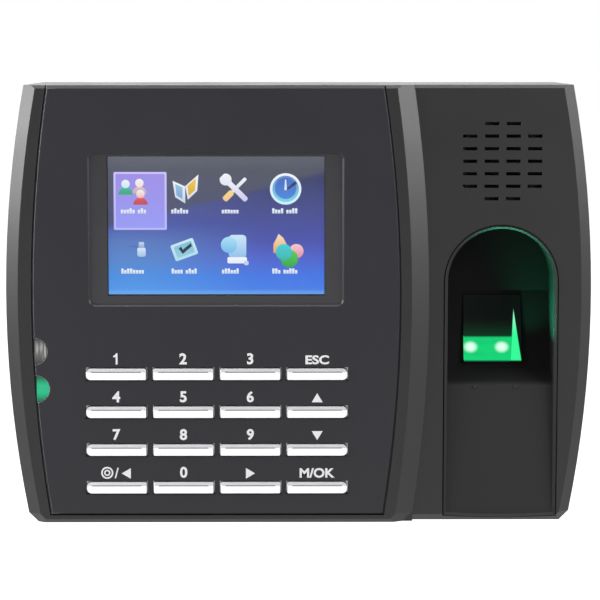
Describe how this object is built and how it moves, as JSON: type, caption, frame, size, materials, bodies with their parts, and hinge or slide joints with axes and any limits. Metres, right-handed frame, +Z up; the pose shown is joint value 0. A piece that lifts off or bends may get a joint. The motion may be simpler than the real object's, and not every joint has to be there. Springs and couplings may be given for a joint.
{
  "type": "fingerprint scanner terminal",
  "caption": "Wall-hung access terminal with a colour display, a numeric keypad, a speaker grille and an arched finger bay with a lit optical sensor.",
  "frame": {"origin": "centre of the wall plate's rear face, in the plane of the wall", "axes": "+Z up, +Y into the wall, +X to the right of someone facing the terminal"},
  "size_m": [0.1866, 0.0311, 0.1412],
  "materials": {
    "black_shell": "satin moulded",
    "face_black": "fine satin",
    "bay_black": "matt moulded",
    "window_glass": "clear, polished",
    "black_foam": "matt foam",
    "tin_sheet": "tinned",
    "display_glass": "lit",
    "white_plastic": "smooth",
    "amber_film": "film",
    "silicone": "matt",
    "green_board": "lacquered",
    "chip_black": "moulded",
    "zinc_steel": "zinc plated",
    "plate_steel": "zinc plated sheet",
    "bright_steel": "bright",
    "relay_blue": "moulded",
    "terminal_green": "moulded",
    "sensor_glass": "polished",
    "green_lamp": "clear, lit green",
    "green_lens": "lit green",
    "smoke_lens": "smoked",
    "paper_cone": "paper",
    "dark_metal": "coated",
    "key_silver": "silver lacquer"
  },
  "bodies": {
    "terminal": {"back_shell": "black_shell", "board_chips": "chip_black", "board_screws": "zinc_steel", "case_screws": "zinc_steel", "cell_holder": "chip_black", "clock_cell": "bright_steel", "display_backlight": "white_plastic", "display_cable": "amber_film", "display_gasket": "black_foam", "display_panel": "display_glass", "display_tray": "tin_sheet", "display_window": "window_glass", "door_relay": "relay_blue", "faceplate": "face_black", "finger_guide": "bay_black", "front_shell": "black_shell", "keypad_board": "green_board", "keypad_cable": "amber_film", "keypad_mat": "silicone", "lock_screw": "zinc_steel", "main_board": "green_board", "network_jack": "bright_steel", "power_jack": "chip_black", "reset_switch": "chip_black", "sensor_board": "green_board", "sensor_cable": "amber_film", "sensor_camera": "chip_black", "sensor_glass": "sensor_glass", "sensor_housing": "bay_black", "sensor_lamps": "green_lamp", "speaker_cone": "paper_cone", "speaker_frame": "tin_sheet", "speaker_gasket": "black_foam", "speaker_magnet": "dark_metal", "status_board": "green_board", "status_lamps": "green_lamp", "status_lens_lower": "green_lens", "status_lens_upper": "smoke_lens", "tamper_switch": "chip_black", "terminal_block": "terminal_green", "usb_port": "bright_steel", "wall_plate": "plate_steel"},
    "key_0": {"key_0": "key_silver"},
    "key_1": {"key_1": "key_silver"},
    "key_2": {"key_2": "key_silver"},
    "key_3": {"key_3": "key_silver"},
    "key_4": {"key_4": "key_silver"},
    "key_5": {"key_5": "key_silver"},
    "key_6": {"key_6": "key_silver"},
    "key_7": {"key_7": "key_silver"},
    "key_8": {"key_8": "key_silver"},
    "key_9": {"key_9": "key_silver"},
    "key_down": {"key_down": "key_silver"},
    "key_esc": {"key_esc": "key_silver"},
    "key_left": {"key_left": "key_silver"},
    "key_ok": {"key_ok": "key_silver"},
    "key_right": {"key_right": "key_silver"},
    "key_up": {"key_up": "key_silver"},
    "tamper_plunger": {"tamper_plunger": "white_plastic"},
    "reset_button": {"reset_button": "white_plastic"}
  },
  "joints": [
    {"name": "press_key_0", "type": "slide", "parent": "terminal", "child": "key_0", "axis": [0, 1, 0], "range_m": [0, 0.0008], "stiffness_N_per_m": 900, "deforming": ["keypad_mat"]},
    {"name": "press_key_1", "type": "slide", "parent": "terminal", "child": "key_1", "axis": [0, 1, 0], "range_m": [0, 0.0008], "stiffness_N_per_m": 900, "deforming": ["keypad_mat"]},
    {"name": "press_key_2", "type": "slide", "parent": "terminal", "child": "key_2", "axis": [0, 1, 0], "range_m": [0, 0.0008], "stiffness_N_per_m": 900, "deforming": ["keypad_mat"]},
    {"name": "press_key_3", "type": "slide", "parent": "terminal", "child": "key_3", "axis": [0, 1, 0], "range_m": [0, 0.0008], "stiffness_N_per_m": 900, "deforming": ["keypad_mat"]},
    {"name": "press_key_4", "type": "slide", "parent": "terminal", "child": "key_4", "axis": [0, 1, 0], "range_m": [0, 0.0008], "stiffness_N_per_m": 900, "deforming": ["keypad_mat"]},
    {"name": "press_key_5", "type": "slide", "parent": "terminal", "child": "key_5", "axis": [0, 1, 0], "range_m": [0, 0.0008], "stiffness_N_per_m": 900, "deforming": ["keypad_mat"]},
    {"name": "press_key_6", "type": "slide", "parent": "terminal", "child": "key_6", "axis": [0, 1, 0], "range_m": [0, 0.0008], "stiffness_N_per_m": 900, "deforming": ["keypad_mat"]},
    {"name": "press_key_7", "type": "slide", "parent": "terminal", "child": "key_7", "axis": [0, 1, 0], "range_m": [0, 0.0008], "stiffness_N_per_m": 900, "deforming": ["keypad_mat"]},
    {"name": "press_key_8", "type": "slide", "parent": "terminal", "child": "key_8", "axis": [0, 1, 0], "range_m": [0, 0.0008], "stiffness_N_per_m": 900, "deforming": ["keypad_mat"]},
    {"name": "press_key_9", "type": "slide", "parent": "terminal", "child": "key_9", "axis": [0, 1, 0], "range_m": [0, 0.0008], "stiffness_N_per_m": 900, "deforming": ["keypad_mat"]},
    {"name": "press_key_down", "type": "slide", "parent": "terminal", "child": "key_down", "axis": [0, 1, 0], "range_m": [0, 0.0008], "stiffness_N_per_m": 900, "deforming": ["keypad_mat"]},
    {"name": "press_key_esc", "type": "slide", "parent": "terminal", "child": "key_esc", "axis": [0, 1, 0], "range_m": [0, 0.0008], "stiffness_N_per_m": 900, "deforming": ["keypad_mat"]},
    {"name": "press_key_left", "type": "slide", "parent": "terminal", "child": "key_left", "axis": [0, 1, 0], "range_m": [0, 0.0008], "stiffness_N_per_m": 900, "deforming": ["keypad_mat"]},
    {"name": "press_key_ok", "type": "slide", "parent": "terminal", "child": "key_ok", "axis": [0, 1, 0], "range_m": [0, 0.0008], "stiffness_N_per_m": 900, "deforming": ["keypad_mat"]},
    {"name": "press_key_right", "type": "slide", "parent": "terminal", "child": "key_right", "axis": [0, 1, 0], "range_m": [0, 0.0008], "stiffness_N_per_m": 900, "deforming": ["keypad_mat"]},
    {"name": "press_key_up", "type": "slide", "parent": "terminal", "child": "key_up", "axis": [0, 1, 0], "range_m": [0, 0.0008], "stiffness_N_per_m": 900, "deforming": ["keypad_mat"]},
    {"name": "press_tamper_plunger", "type": "slide", "parent": "terminal", "child": "tamper_plunger", "axis": [0, -1, 0], "range_m": [0, 0.0005], "stiffness_N_per_m": 400},
    {"name": "press_reset_button", "type": "slide", "parent": "terminal", "child": "reset_button", "axis": [0, 0, 1], "range_m": [0, 0.0005], "stiffness_N_per_m": 400}
  ]
}
